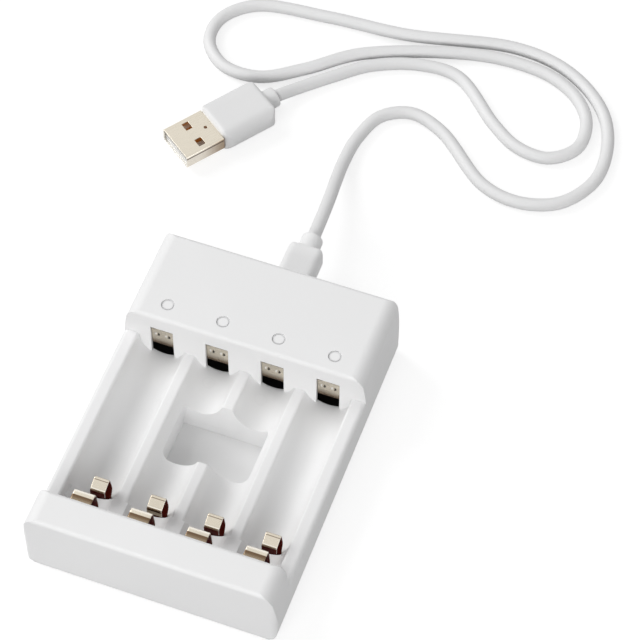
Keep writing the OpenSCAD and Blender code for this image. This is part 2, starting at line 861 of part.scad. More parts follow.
// smooth curve through the route: steps along the true distances keep it free of kinks
guide = concat([lead_start - [0, ring_spacing, 0], lead_start], [for (p = route) behind(p)],
    [lead_end, lead_end - ring_spacing * large_way]);
function knot(a, b) = sqrt(norm(b - a));
function blend(a, b, ta, tb, t) = ((tb - t) * a + (t - ta) * b) / (tb - ta);
function curve_at(p, q, r, s, u) = let (
    t1 = knot(p, q), t2 = t1 + knot(q, r), t3 = t2 + knot(r, s), t = t1 + (t2 - t1) * u,
    a = blend(p, q, 0, t1, t), b = blend(q, r, t1, t2, t), c = blend(r, s, t2, t3, t),
    d = blend(a, b, 0, t2, t), e = blend(b, c, t1, t3, t)) blend(d, e, t1, t2, t);
function steps_between(a, b) = max(1, round(norm(b - a) / ring_spacing));
middle = concat([for (i = [1:len(guide) - 3])
    let (n = steps_between(guide[i], guide[i + 1]))
    for (k = [0:n - 1]) curve_at(guide[i - 1], guide[i], guide[i + 1], guide[i + 2], k / n)], [lead_end]);
last = len(middle) - 1;
function heading(i) = i == 0 ? [0, 1, 0] : i == last ? -large_way : unit(middle[i + 1] - middle[i - 1]);
function ring(i) = let (t = heading(i), s = unit(cross(t, [0, 0, 1])), u = cross(s, t))
    [for (k = [0:lead_sides - 1]) let (a = 360 * k / lead_sides) middle[i] + lie * (cos(a) * s + sin(a) * u)];

module cord() {
    n = lead_sides;
    points = [for (i = [0:last]) each ring(i)];
    faces = concat(
        [[for (k = [0:n - 1]) k]],
        [for (i = [0:last - 1], k = [0:n - 1])
            [i * n + k, (i + 1) * n + k, (i + 1) * n + (k + 1) % n]],
        [for (i = [0:last - 1], k = [0:n - 1])
            [i * n + k, (i + 1) * n + (k + 1) % n, i * n + (k + 1) % n]],
        [[for (k = [n - 1:-1:0]) last * n + k]]);
    color("whitesmoke")
    polyhedron(points = points, faces = faces);
}

upper_housing();
bottom_cover();
cover_screws();
circuit_board();
charge_controller();
current_regulators();
smoothing_capacitor();
status_leds();
light_pipe(1);  // light_pipe_1
light_pipe(2);  // light_pipe_2
light_pipe(3);  // light_pipe_3
light_pipe(4);  // light_pipe_4
plus_contact(1);  // plus_contact_1
plus_contact(2);  // plus_contact_2
plus_contact(3);  // plus_contact_3
plus_contact(4);  // plus_contact_4
large_cell_leaf(1);  // large_cell_leaf_1
large_cell_leaf(2);  // large_cell_leaf_2
large_cell_leaf(3);  // large_cell_leaf_3
large_cell_leaf(4);  // large_cell_leaf_4
small_cell_leaf(1);  // small_cell_leaf_1
small_cell_leaf(2);  // small_cell_leaf_2
small_cell_leaf(3);  // small_cell_leaf_3
small_cell_leaf(4);  // small_cell_leaf_4
return_strap();
return_wire();
input_socket();
socket_tongue();
small_plug_shell();
small_plug_grip();
cord();
large_plug_grip();
large_plug_shell();
large_plug_tongue();
large_plug_pins();
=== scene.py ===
"""Looks of a four bay battery charger and its white lead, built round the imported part.
Metres, +Z up, in the part's own frame: X across the bays, Y towards the lead, origin under the middle."""

from math import cos, pi, radians, sin, sqrt

import bmesh
import bpy
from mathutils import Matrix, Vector


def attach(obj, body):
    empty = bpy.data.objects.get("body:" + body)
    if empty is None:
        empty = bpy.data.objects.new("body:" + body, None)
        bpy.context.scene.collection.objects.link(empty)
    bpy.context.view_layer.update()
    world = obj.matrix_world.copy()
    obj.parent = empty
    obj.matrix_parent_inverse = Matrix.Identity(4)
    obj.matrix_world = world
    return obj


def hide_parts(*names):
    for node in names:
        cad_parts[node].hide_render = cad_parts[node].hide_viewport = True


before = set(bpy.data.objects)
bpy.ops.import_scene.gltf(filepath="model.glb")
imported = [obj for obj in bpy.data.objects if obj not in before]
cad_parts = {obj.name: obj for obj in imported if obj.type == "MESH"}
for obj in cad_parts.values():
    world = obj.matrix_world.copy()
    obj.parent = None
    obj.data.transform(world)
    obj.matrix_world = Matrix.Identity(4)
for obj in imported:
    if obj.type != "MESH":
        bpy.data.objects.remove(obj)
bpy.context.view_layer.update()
scene = bpy.context.scene
MM = 0.001


# Sizes and places on the part, in millimetres

BAYS = [-22.2, -7.4, 7.4, 22.2]
BACK = 45
FOOT_BACK = -35.5
LAMP_ROW = 24
TROUGH_MARKS = [(-8.4, 15.4), (5.7, 15.1)]

SHEET = 0.4
LARGE_LEAF = [(-0.9, 2.6), (-0.9, 16.4), (-0.7, 17), (-0.2, 17.4), (3.9, 17.4), (4.4, 17.3), (4.7, 16.8),
              (5.3, 12.6), (5.4, 11.6), (5.4, 10.8), (5.1, 9.8), (4.3, 8.8)]
LARGE_LEAF_OFFSET, LARGE_LEAF_WIDTH = 0.5, 5.4
SMALL_LEAF = [(10.6, 2.6), (10.6, 7), (11.5, 8.6), (11.8, 9.6), (11.8, 10.5), (11.15, 14.1), (10.9, 14.6),
              (10.45, 14.72), (8.2, 13.82), (7.85, 13.6), (7.75, 13.2), (7.7, 11.6)]
SMALL_LEAF_OFFSET, SMALL_LEAF_WIDTH = 2.1, 3.9
PLATE = [(19.7, 16.7), (19.7, 9.6), (23.2, 9.6)]
PLATE_WIDTH = 5.9

LEAD_RADIUS = 1.75
LEAD_SIDES, LEAD_STEP = 20, 1.6
LEAD_START = Vector((2.1, 63.0, 10.725))
ROUTE = [
    (1, 33, 7.8), (-0.2, 42.5, 4.8), (-1, 51, 2.4), (-0.5, 59.5), (3, 69), (10.5, 73), (20, 70),
    (36.5, 56.5), (47, 54.3), (57.5, 58), (64, 68), (64.3, 79), (60.8, 89.3), (54, 97.1), (43.6, 103),
    (30, 104.9), (0, 98.9), (-22, 97.4), (-43, 94.2), (-50.5, 86.3), (-50.4, 77.5), (-43.5, 70.8),
    (-33, 70.5), (-22, 77.6), (-9.5, 87.9), (18, 98.2), (32, 99.9), (43, 98.4), (51.3, 93.7),
    (56.3, 86.4), (56.4, 77), (50, 71.2), (41, 71.9), (33, 77), (18.5, 89.6), (8, 90.1), (-5, 85.2),
    (-14.5, 77.2), (-21.6, 69.9, 2.3)]
PLUG_TIP = Vector((-44.63, 82.88, 3.75))
PLUG_TURN = radians(54.3)
PLUG_WAY = Vector((cos(PLUG_TURN), sin(PLUG_TURN), 0))
PLUG_LENGTH = 32.3


# The camera, as the photograph was taken

def place_camera():
    lens = bpy.data.cameras.new("photo_camera")
    lens.sensor_width = 36
    lens.lens = 146.92
    lens.clip_start, lens.clip_end = 0.01, 20
    camera = bpy.data.objects.new("photo_camera", lens)
    scene.collection.objects.link(camera)
    camera.location = (0.136759, -0.310016, 0.560537)
    camera.rotation_euler = [radians(a) for a in (34.01958, -0.36983, 20.09847)]
    scene.camera = camera


place_camera()


# Node trees

class Signal:
    """A value inside one node tree. Arithmetic on it adds the Math nodes."""

    def __init__(self, net, socket):
        self.net, self.socket = net, socket

    def _math(self, operation, first, second):
        return self.net.node("ShaderNodeMath", {"operation": operation}, {0: first, 1: second})

    def __add__(self, other):
        return self._math("ADD", self, other)

    def __sub__(self, other):
        return self._math("SUBTRACT", self, other)

    def __rsub__(self, other):
        return self._math("SUBTRACT", other, self)

    def __mul__(self, other):
        return self._math("MULTIPLY", self, other)

    def __truediv__(self, other):
        return self._math("DIVIDE", self, other)

    def __rtruediv__(self, other):
        return self._math("DIVIDE", other, self)

    def __pow__(self, other):
        return self._math("POWER", self, other)

    def __abs__(self):
        return self._math("ABSOLUTE", self, 0.0)

    __radd__, __rmul__ = __add__, __mul__

    def atleast(self, other):
        return self._math("MAXIMUM", self, other)

    def atmost(self, other):
        return self._math("MINIMUM", self, other)


class Net:
    """A node tree and the one way that nodes are put into it."""

    def __init__(self, tree):
        self.tree = tree

    def feed(self, socket, value):
        if isinstance(value, Signal):
            self.tree.links.new(value.socket, socket)
        elif isinstance(value, (tuple, list)) and len(value) == 3 and socket.type == "RGBA":
            socket.default_value = (*value, 1)
        else:
            socket.default_value = value

    def node(self, kind, settings=None, inputs=None, output=0):
        made = self.tree.nodes.new(kind)
        for name, value in (settings or {}).items():
            setattr(made, name, value)
        for key, value in (inputs or {}).items():
            self.feed(made.inputs[key], value)
        return Signal(self, made.outputs[output])

    def smooth(self, value, low, high):
        """0 at low, 1 at high and a soft step in between."""
        return self.node("ShaderNodeMapRange", {"interpolation_type": "SMOOTHSTEP"},
                         {"Value": value, "From Min": low, "From Max": high})

    def parts(self, vector):
        made = self.node("ShaderNodeSeparateXYZ", {}, {0: vector}).socket.node
        return [Signal(self, made.outputs[k]) for k in range(3)]


class Finish(Net):
    """One material: a Principled shader and the nodes that feed it."""

    def __init__(self, name, **fixed):
        self.material = bpy.data.materials.new(name)
        self.material.use_nodes = True
        super().__init__(self.material.node_tree)
        self.shader = self.tree.nodes["Principled BSDF"]
        self.place = self.node("ShaderNodeTexCoord", output="Object")
        for socket, value in fixed.items():
            self.set(socket.replace("_", " "), value)

    def set(self, socket, value):
        self.feed(self.shader.inputs[socket], value)

    def noise(self, per_metre, detail=2, place=None):
        """Noise with that many grains in a metre."""
        return self.node("ShaderNodeTexNoise", {},
                         {"Vector": place or self.place, "Scale": per_metre, "Detail": detail})

    def attribute(self, name):
        return self.node("ShaderNodeAttribute", {"attribute_name": name}, output="Fac")

    def band(self, value, low, high, blur):
        """1 between low and high, with soft ends."""
        return self.smooth(value, low - blur, low + blur) * (1 - self.smooth(value, high - blur, high + blur))

    def mix(self, share, first, second):
        made = self.tree.nodes.new("ShaderNodeMix")
        made.data_type = "RGBA"
        self.feed(made.inputs[0], share)
        self.feed(made.inputs[6], first)
        self.feed(made.inputs[7], second)
        return Signal(self, made.outputs[2])

    def relief(self, height, depth, rounding=0.0):
        """Bump of that depth in metres, over edges softened by rounding."""
        inputs = {"Height": height, "Distance": depth, "Strength": 1.0}
        if rounding:
            inputs["Normal"] = self.node("ShaderNodeBevel", {"samples": 8}, {"Radius": rounding})
        self.set("Normal", self.node("ShaderNodeBump", {}, inputs))


# Materials: places and sizes in metres, grains per metre

def tinted(colour, factor):
    return tuple(c * factor for c in colour)


def from_spot(across, along, spot):
    """Distance from the upright line through a spot that is given in millimetres."""
    x, y = spot[0] * MM, spot[1] * MM
    return ((across - x) * (across - x) + (along - y) * (along - y)) ** 0.5


FLOW_GRAIN, SPARK_GRAIN, COARSE_GRAIN, SHEEN_GRAIN = 38, 5200, 1700, 900
SPARK_DEPTH = 6e-6
MARK_RADIUS, MARK_WIDTH, MARK_BLUR = 0.0015, 0.00024, 0.00016
TROUGH_FLOOR_TOP = (0.009, 0.0095)
RING_RADIUS, RING_BLUR = 0.00115, 0.00025
RING_PAINTED_SHADE = (0.76, 0.76, 0.765)
HEAD_FRONT_WALL, HEAD_BACK_WALL = (0.0201, 0.0207), (0.0429, 0.0431)
HEAD_TOP_WALL, HEAD_SIDE_WALL = (0.0193, 0.0196), (0.0296, 0.0299)
PAINTED_UNLIT_SHADE = (0.05, 0.05, 0.05)


def moulded_white(name, colour, roughness, rounding, marks=(), lamps=(), inner=False):
    """Satin moulded plastic: faint flow shading, fine spark texture and softened edges. Where asked, ejector
    marks in the trough floors, a ring of painted shade round each lamp, and painted shade over the unlit
    inside of the head."""
    finish = Finish(name, Specular_IOR_Level=0.3)
    shade = finish.smooth(finish.noise(FLOW_GRAIN, 3), 0.35, 0.65) * 0.6
    height = finish.noise(SPARK_GRAIN) * 0.7 + finish.noise(COARSE_GRAIN) * 0.3
    across, along, up = finish.parts(finish.place)
    for spot in marks:
        away = from_spot(across, along, spot)
        ring = finish.band(away, MARK_RADIUS - MARK_WIDTH / 2, MARK_RADIUS + MARK_WIDTH / 2, MARK_BLUR)
        ring = ring * (1 - finish.smooth(up, *TROUGH_FLOOR_TOP))
        shade = shade + ring * 1.6
        height = height - ring * 3.0
    colour = finish.mix(shade, colour, tinted(colour, 0.975))
    # Painted shade: round each lamp the pipe is painted grey outside a small middle disc, for the recessed
    # ring in shade.
    if lamps:
        away = from_spot(across, along, lamps[0])
        for spot in lamps[1:]:
            away = away.atmost(from_spot(across, along, spot))
        outside = finish.smooth(away, RING_RADIUS - RING_BLUR, RING_RADIUS + RING_BLUR)
        colour = finish.mix(outside, colour, RING_PAINTED_SHADE)
    # Painted shade: the inside of the head is painted near black, as it lies unlit.
    if inner:
        deep = finish.smooth(along, *HEAD_FRONT_WALL) * (1 - finish.smooth(along, *HEAD_BACK_WALL))
        deep = deep * (1 - finish.smooth(up, *HEAD_TOP_WALL))
        deep = deep * (1 - finish.smooth(abs(across), *HEAD_SIDE_WALL))
        colour = finish.mix(deep, colour, PAINTED_UNLIT_SHADE)
    finish.set("Base Color", colour)
    finish.set("Roughness", finish.noise(SHEEN_GRAIN) * 0.1 + (roughness - 0.05))
    finish.relief(height, SPARK_DEPTH, rounding)
    return finish.material


def plain_part(name, colour, roughness, metallic=0.0, grain=2500, depth=4e-6):
    """Small inner parts: one colour with a little grain."""
    finish = Finish(name, Metallic=metallic)
    finish.set("Base Color", finish.mix(finish.noise(grain / 6), tinted(colour, 0.85), colour))
    finish.set("Roughness", finish.noise(grain) * 0.15 + (roughness - 0.07))
    finish.relief(finish.noise(grain), depth)
    return finish.material


NICKEL = (0.68, 0.62, 0.515)
# The colours below are painted light on the plating: pale and warm white for painted highlights; beige,
# brown, dark red and near black for painted reflections and shade.
NICKEL_PAINTED_HIGHLIGHT = (0.90, 0.86, 0.78)
NICKEL_BEIGE = (0.44, 0.37, 0.27)
NICKEL_BROWN = (0.15, 0.095, 0.055)
RED_DARK = (0.10, 0.009, 0.005)
PAINTED_POINT_HIGHLIGHT = (1, 0.98, 0.95)
NEAR_BLACK = (0.004, 0.003, 0.003)
ROLLING_GRAIN, ROLLING_DEPTH, CLOUD_GRAIN = 5200, 8e-7, 160
FACE_FROM, FACE_TO = 0.00008, 0.00014


def nickel_start(name):
    """Plated sheet: fine rolling lines across it and a faint cloud in its lustre."""
    finish = Finish(name, Specular_IOR_Level=0.05)
    stretched = finish.node("ShaderNodeMapping", {}, {"Vector": finish.place, "Scale": (0.15, 1, 1)})
    lines = finish.noise(ROLLING_GRAIN, 2, stretched)
    cloud = finish.noise(CLOUD_GRAIN)
    finish.set("Roughness", lines * 0.08 + cloud * 0.05 + 0.2)
    finish.relief(lines, ROLLING_DEPTH)
    base = finish.mix(finish.smooth(cloud, 0.3, 0.7), tinted(NICKEL, 0.95), tinted(NICKEL, 1.04))
    return finish, base


def finish_nickel(finish, colour, dark, dark_colour):
    """Painted reflection: where the plating would mirror the dark inside, that dark is painted in as its
    colour, with no mirror of its own.
    """
    finish.set("Base Color", finish.mix(dark, colour, dark_colour))
    finish.set("Metallic", 1 - dark)
    return finish.material


def large_leaf_finish():
    """The wide leaf, with painted reflection and shade: beige to brown below its crest, a pale painted
    highlight on it, and dark inside the fold.
    Places along the strip count from its root."""
    darkening, crest, bright, fold = (0.0160, 0.0182), (0.0183, 0.0185), (0.0192, 0.0198), (0.0203, 0.0211)
    finish, base = nickel_start("large_leaf_nickel")
    along, depth = finish.attribute("along"), finish.attribute("depth")
    # Painted reflection: beige darkening to brown below the crest, a pale painted highlight band after it,
    # painted brown past the fold, and painted dark red shade on the inner face.
    front = finish.mix(finish.smooth(along, *darkening), NICKEL_BEIGE, NICKEL_BROWN)
    colour = finish.mix(finish.smooth(along, *crest), front, base)
    colour = finish.mix(finish.band(along, *bright, 0.0003), colour, NICKEL_PAINTED_HIGHLIGHT)
    colour = finish.mix(finish.smooth(along, *fold), colour, NICKEL_BROWN)
    return finish_nickel(finish, colour, finish.smooth(depth, FACE_FROM, FACE_TO), RED_DARK)


def small_leaf_finish():
    """The narrow leaf: pale sloping top with a painted highlight on its edge, a lip with a painted reflection
    of the dark bay, and painted shade inside.
    Places along the strip count from its root."""
    leg_end, leg_shade, top_start = (0.0118, 0.0122), (0.0119, 0.0125), (0.0122, 0.0126)
    bend_line, bright_line, lip_line = (0.01295, 0.0131), (0.0152, 0.0154), (0.0158, 0.0162)
    lip_start, second_bay = (0.0156, 0.0159), (-0.012, -0.002)
    finish, base = nickel_start("small_leaf_nickel")
    along, depth = finish.attribute("along"), finish.attribute("depth")
    across = finish.parts(finish.place)[0]
    # Painted light: a brown painted shade line at the bend, a pale painted highlight line across the top, and
    # the leg painted beige as shade.
    colour = finish.mix(finish.band(along, *bend_line, 0.00012), base, NICKEL_BROWN)
    colour = finish.mix(finish.band(along, *bright_line, 0.0001), colour, NICKEL_PAINTED_HIGHLIGHT)
    colour = finish.mix(1 - finish.smooth(along, *leg_shade), colour, NICKEL_BEIGE)
    # Painted reflection on the lip: beige with a brown line in the second bay, where the wide leaf shows in
    # it, and dark red in the other bays.
    lip = finish.smooth(along, *lip_start)
    second = finish.band(across, *second_bay, 0.0005)
    line = finish.band(along, *lip_line, 0.00015)
    colour = finish.mix(lip * second, colour, finish.mix(line, NICKEL_BEIGE, NICKEL_BROWN))
    # Painted highlight: the sheet's edge along the top is pale.
    edge = finish.band(depth, -0.0001, 0.0001, 0.00003) * finish.smooth(along, *top_start)
    colour = finish.mix(edge, colour, NICKEL_PAINTED_HIGHLIGHT)
    # Painted shade and reflection: the inner face, the lip outside the second bay and the leg, save its back
    # face, are dark red, with no mirror.
    inside = 1 - finish.smooth(depth, -FACE_TO, -FACE_FROM)
    back = finish.smooth(depth, FACE_FROM, FACE_TO)
    leg = (1 - finish.smooth(along, *leg_end)) * (1 - back)
    dark = inside.atleast(lip * (1 - second) * (1 - edge)).atleast(leg)
    return finish_nickel(finish, colour, dark, RED_DARK)


def plate_finish():
    """The plus plates: pale above; the curve towards the board has a painted reflection of the dark inside,
    and each point a painted highlight and painted shade.
    """
    browning, blackening = (0.0098, 0.0130), (0.0084, 0.0113)
    finish, base = nickel_start("plate_nickel")
    up = finish.parts(finish.place)[2]
    # Painted reflection: brown and then black towards the board; beside each point a painted highlight on one
    # side and painted shade on the other.
    colour = finish.mix(1 - finish.smooth(up, *browning), base, NICKEL_BROWN)
    colour = finish.mix(finish.attribute("lit"), colour, PAINTED_POINT_HIGHLIGHT)
    dark = (1 - finish.smooth(up, *blackening)).atleast(finish.attribute("shaded"))
    return finish_nickel(finish, colour, dark, NEAR_BLACK)


PLUG_GRAIN, PLUG_DEPTH, PLUG_ROUNDING = 9000, 5e-7, 0.00012
PLUG_SATIN = [(0.685, 0.63, 0.53), (0.715, 0.66, 0.56)]
PLUG_SIDE_PAINTED_REFLECTION = [(0.74, 0.69, 0.61), (0.30, 0.225, 0.155)]
SEAM_BROWN = (0.08, 0.055, 0.04)
LATCH_PALE_PAINTED_REFLECTION, LATCH_BROWN_PAINTED_SHADE, LATCH_PAINTED_GLOW = (0.84, 0.82, 0.78), (0.30, 0.15, 0.06), (0.16, 0.075, 0.03)


def plug_nickel():
    """The large plug's shell: satin plating with a painted reflection down one side, a pale painted
    reflection inside its open end, brown painted shade and a faint painted glow inside its latch holes, and
    the seam of its fold on one side. Places are the plug's own: along it from its open end, across it, and up
    from its middle."""
    side_face, side_fade, seam_rise = (-0.00595, -0.0057), (0.003, 0.0125), (0.00125, 0.00165)
    inner_rise, inner_half_width, hole_depth = (0.00196, 0.0021), (0.00572, 0.00585), (0.003, 0.0045)
    glow_reach = 0.0045
    finish = Finish("plug_nickel", Metallic=1.0, Emission_Strength=1.0)
    moved = finish.node("ShaderNodeVectorMath", {"operation": "SUBTRACT"},
                        {0: finish.place, 1: PLUG_TIP * MM})
    own = finish.node("ShaderNodeVectorRotate", {"rotation_type": "Z_AXIS"},
                      {"Vector": moved, "Angle": -PLUG_TURN})
    along, across, up = finish.parts(own)
    stretched = finish.node("ShaderNodeMapping", {}, {"Vector": own, "Scale": (0.05, 1, 1)})
    lines = finish.noise(PLUG_GRAIN, 2, stretched)
    base = finish.mix(finish.smooth(lines, 0.25, 0.75), *PLUG_SATIN)
    # Painted reflection: the side face fades from pale near the open end to brown further in.
    side = 1 - finish.smooth(across, *side_face)
    colour = finish.mix(side, base, finish.mix(finish.smooth(along, *side_fade), *PLUG_SIDE_PAINTED_REFLECTION))
    seam = side * finish.band(up, *seam_rise, 0.00012)
    colour = finish.mix(seam, colour, SEAM_BROWN)
    # Inside the shell: a pale painted reflection near the open end, brown painted shade deeper in, and a
    # faint painted glow on one side of it.
    inside = 1 - finish.smooth(abs(up), *inner_rise)
    inside = inside * (1 - finish.smooth(abs(across), *inner_half_width))
    deep = inside * finish.smooth(along, *hole_depth)
    colour = finish.mix(inside, colour, LATCH_PALE_PAINTED_REFLECTION)
    finish.set("Base Color", finish.mix(deep, colour, LATCH_BROWN_PAINTED_SHADE))
    glow = deep * finish.smooth(across + up * 1.5, -glow_reach, glow_reach)
    finish.set("Emission Color", finish.mix(glow, (0, 0, 0), LATCH_PAINTED_GLOW))
    finish.set("Roughness", lines * 0.08 + 0.24)
    finish.relief(lines, PLUG_DEPTH, PLUG_ROUNDING)
    return finish.material


shell_white = moulded_white("shell_white", (0.86, 0.86, 0.862), 0.5, 0.00028,
                            marks=TROUGH_MARKS, inner=True)
lead_white = moulded_white("lead_white", (0.80, 0.80, 0.802), 0.45, 0.0003)
# Painted light: the small grip is the lead's white plastic in a lighter copy, to lift it out of the shade it
# sits in.
small_grip_painted_light = moulded_white("small_grip_white_painted_light", (0.90, 0.90, 0.902), 0.45, 0.0003)
pipe_milky = moulded_white("pipe_milky", (0.88, 0.88, 0.882), 0.35, 0.0001,
                           lamps=[(bay, LAMP_ROW) for bay in BAYS])
tongue_white = moulded_white("tongue_white", (0.80, 0.79, 0.76), 0.4, 0.0001)
large_leaf_nickel = large_leaf_finish()
small_leaf_nickel = small_leaf_finish()
plate_metal = plate_finish()
plug_metal = plug_nickel()
strap_metal = plain_part("strap_nickel", NICKEL, 0.3, 1.0)
gold = plain_part("gold_pins", (0.80, 0.56, 0.26), 0.25, 1.0)
screw_zinc = plain_part("screw_zinc", (0.62, 0.62, 0.63), 0.3, 1.0)
board_green = plain_part("board_green", (0.012, 0.06, 0.028), 0.5)
chip_black = plain_part("chip_black", (0.03, 0.03, 0.033), 0.5)
can_metal = plain_part("can_metal", (0.6, 0.61, 0.64), 0.3, 1.0)
led_clear = plain_part("led_clear", (0.8, 0.82, 0.7), 0.2)
wire_black = plain_part("wire_black", (0.02, 0.02, 0.02), 0.45)

FINISHES = {
    "upper_housing": shell_white, "bottom_cover": shell_white, "cover_screws": screw_zinc,
    "circuit_board": board_green, "charge_controller": chip_black, "current_regulators": chip_black,
    "smoothing_capacitor": can_metal, "status_leds": led_clear, "return_strap": strap_metal,
    "return_wire": wire_black, "input_socket": screw_zinc, "socket_tongue": chip_black,
    "small_plug_shell": plug_metal, "small_plug_grip": lead_white, "cord": lead_white,
    "large_plug_grip": lead_white, "large_plug_shell": plug_metal, "large_plug_tongue": tongue_white,
    "large_plug_pins": gold}
for number in range(1, len(BAYS) + 1):
    FINISHES[f"light_pipe_{number}"] = pipe_milky
    FINISHES[f"plus_contact_{number}"] = plate_metal
    FINISHES[f"large_cell_leaf_{number}"] = large_leaf_nickel
    FINISHES[f"small_cell_leaf_{number}"] = small_leaf_nickel

for node_name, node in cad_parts.items():
    node.data.materials.clear()
    node.data.materials.append(FINISHES[node_name])


# Pieces

def face_outwards(mesh):
    bm = bmesh.new()
    bm.from_mesh(mesh)
    bmesh.ops.recalc_face_normals(bm, faces=bm.faces)
    bm.to_mesh(mesh)
    bm.free()


def new_piece(name, mesh, material, body, slot, *nodes):
    piece = bpy.data.objects.new(name, mesh)
    scene.collection.objects.link(piece)
    mesh.materials.append(material)
    for face in mesh.polygons:
        face.use_smooth = True
    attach(piece, body)
    if nodes:
        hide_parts(*nodes)
    return piece


# The lead

def smooth_route(points, step):
    """Centripetal curve through the points, with a point at about every step."""
    guide = [2 * points[0] - points[1]] + points + [2 * points[-1] - points[-2]]
    line = []
    for a, b, c, d in zip(guide, guide[1:], guide[2:], guide[3:]):
        t1 = sqrt((b - a).length)
        t2 = t1 + sqrt((c - b).length)
        t3 = t2 + sqrt((d - c).length)
        count = max(1, round((c - b).length / step))
        for k in range(count):
            t = t1 + (t2 - t1) * k / count
            ab = ((t1 - t) * a + t * b) / t1
            bc = ((t2 - t) * b + (t - t1) * c) / (t2 - t1)
            cd = ((t3 - t) * c + (t - t2) * d) / (t3 - t2)
            abc = ((t2 - t) * ab + t * bc) / t2
            bcd = ((t3 - t) * bc + (t - t1) * cd) / (t3 - t1)
            line.append(((t2 - t) * abc + (t - t1) * bcd) / (t2 - t1))
    return line + [points[-1]]


def soften(name, node_name, grain, rounds, material, body, slot):
    """The CAD node's form with its edges worn round, as a moulded grip's are."""
    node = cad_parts[node_name]
    mesh = node.data.copy()
    bm = bmesh.new()
    bm.from_mesh(mesh)
    bm.transform(node.matrix_world)
    bmesh.ops.remove_doubles(bm, verts=bm.verts, dist=1e-6)
    bmesh.ops.recalc_face_normals(bm, faces=bm.faces)
    bm.to_mesh(mesh)
    bm.free()
    former = bpy.data.objects.new(name + "_former", mesh)
    scene.collection.objects.link(former)
    even = former.modifiers.new("even", "REMESH")
    even.mode, even.voxel_size = "VOXEL", grain * MM
    worn = former.modifiers.new("worn", "SMOOTH")
    worn.factor, worn.iterations = 0.5, rounds
    graph = bpy.context.evaluated_depsgraph_get()
    soft = bpy.data.meshes.new_from_object(former.evaluated_get(graph), depsgraph=graph)
    soft.name = name
    soft.materials.clear()
    bpy.data.objects.remove(former)
    return new_piece(name, soft, material, body, slot, node_name)


def tube_mesh(name, line, radius, sides):
    """Closed round tube along the line."""
    mesh = bpy.data.meshes.new(name)
    points, faces = [], []
    last = len(line) - 1
    for i, middle in enumerate(line):
        way = (line[min(i + 1, last)] - line[max(i - 1, 0)]).normalized()
        side = way.cross(Vector((0, 0, 1))).normalized()
        up = side.cross(way)
        for k in range(sides):
            turn = 2 * pi * k / sides
            points.append(middle + radius * (cos(turn) * side + sin(turn) * up))
    for i in range(last):
        for k in range(sides):
            a, b = i * sides + k, i * sides + (k + 1) % sides
            faces.append((a, a + sides, b + sides, b))
    faces.append(tuple(range(sides)))
    faces.append(tuple(range((last + 1) * sides - 1, last * sides - 1, -1)))
    mesh.from_pydata(points, [], faces)
    mesh.validate()
    face_outwards(mesh)
    return mesh


def lay_lead():
    points = [LEAD_START]
    points += [Vector((p[0], BACK + p[1], p[2] if len(p) > 2 else LEAD_RADIUS)) for p in ROUTE]
    points.append(PLUG_TIP + PLUG_LENGTH * PLUG_WAY)
    line = [p * MM for p in smooth_route(points, LEAD_STEP)]
    mesh = tube_mesh("lead", line, LEAD_RADIUS * MM, LEAD_SIDES)
    piece = new_piece("lead", mesh, lead_white, "lead", "lead_white", "cord")
    length = sum((b - a).length for a, b in zip(line, line[1:]))


soften("small_grip", "small_plug_grip", 0.2, 20, small_grip_painted_light, "lead", "lead_white")
soften("large_grip", "large_plug_grip", 0.22, 22, lead_white, "lead", "lead_white")
lay_lead()


# Bent sheet metal

STRIP_INPUTS = {
    "Geometry": ["Path"], "Vector": ["Place"], "Material": ["Plating"],
    "Float": ["Width", "Sheet", "Bend", "Step", "Point Offset", "Point Height", "Point Radius",
              "Point Rise", "Tab Place", "Tab Width", "Tab Rise", "Top"]}
PLAIN_STRIP = {"Width": 1, "Sheet": SHEET, "Bend": 0.4, "Step": 0.2, "Place": 0, "Point Offset": 0,
               "Point Height": 0, "Point Radius": 1, "Point Rise": 0, "Tab Place": 0, "Tab Width": 1,
               "Tab Rise": 0, "Top": 100}
BEND_POINTS, CORNER_POINTS, CORNER_SHARE = 5, 4, 0.4


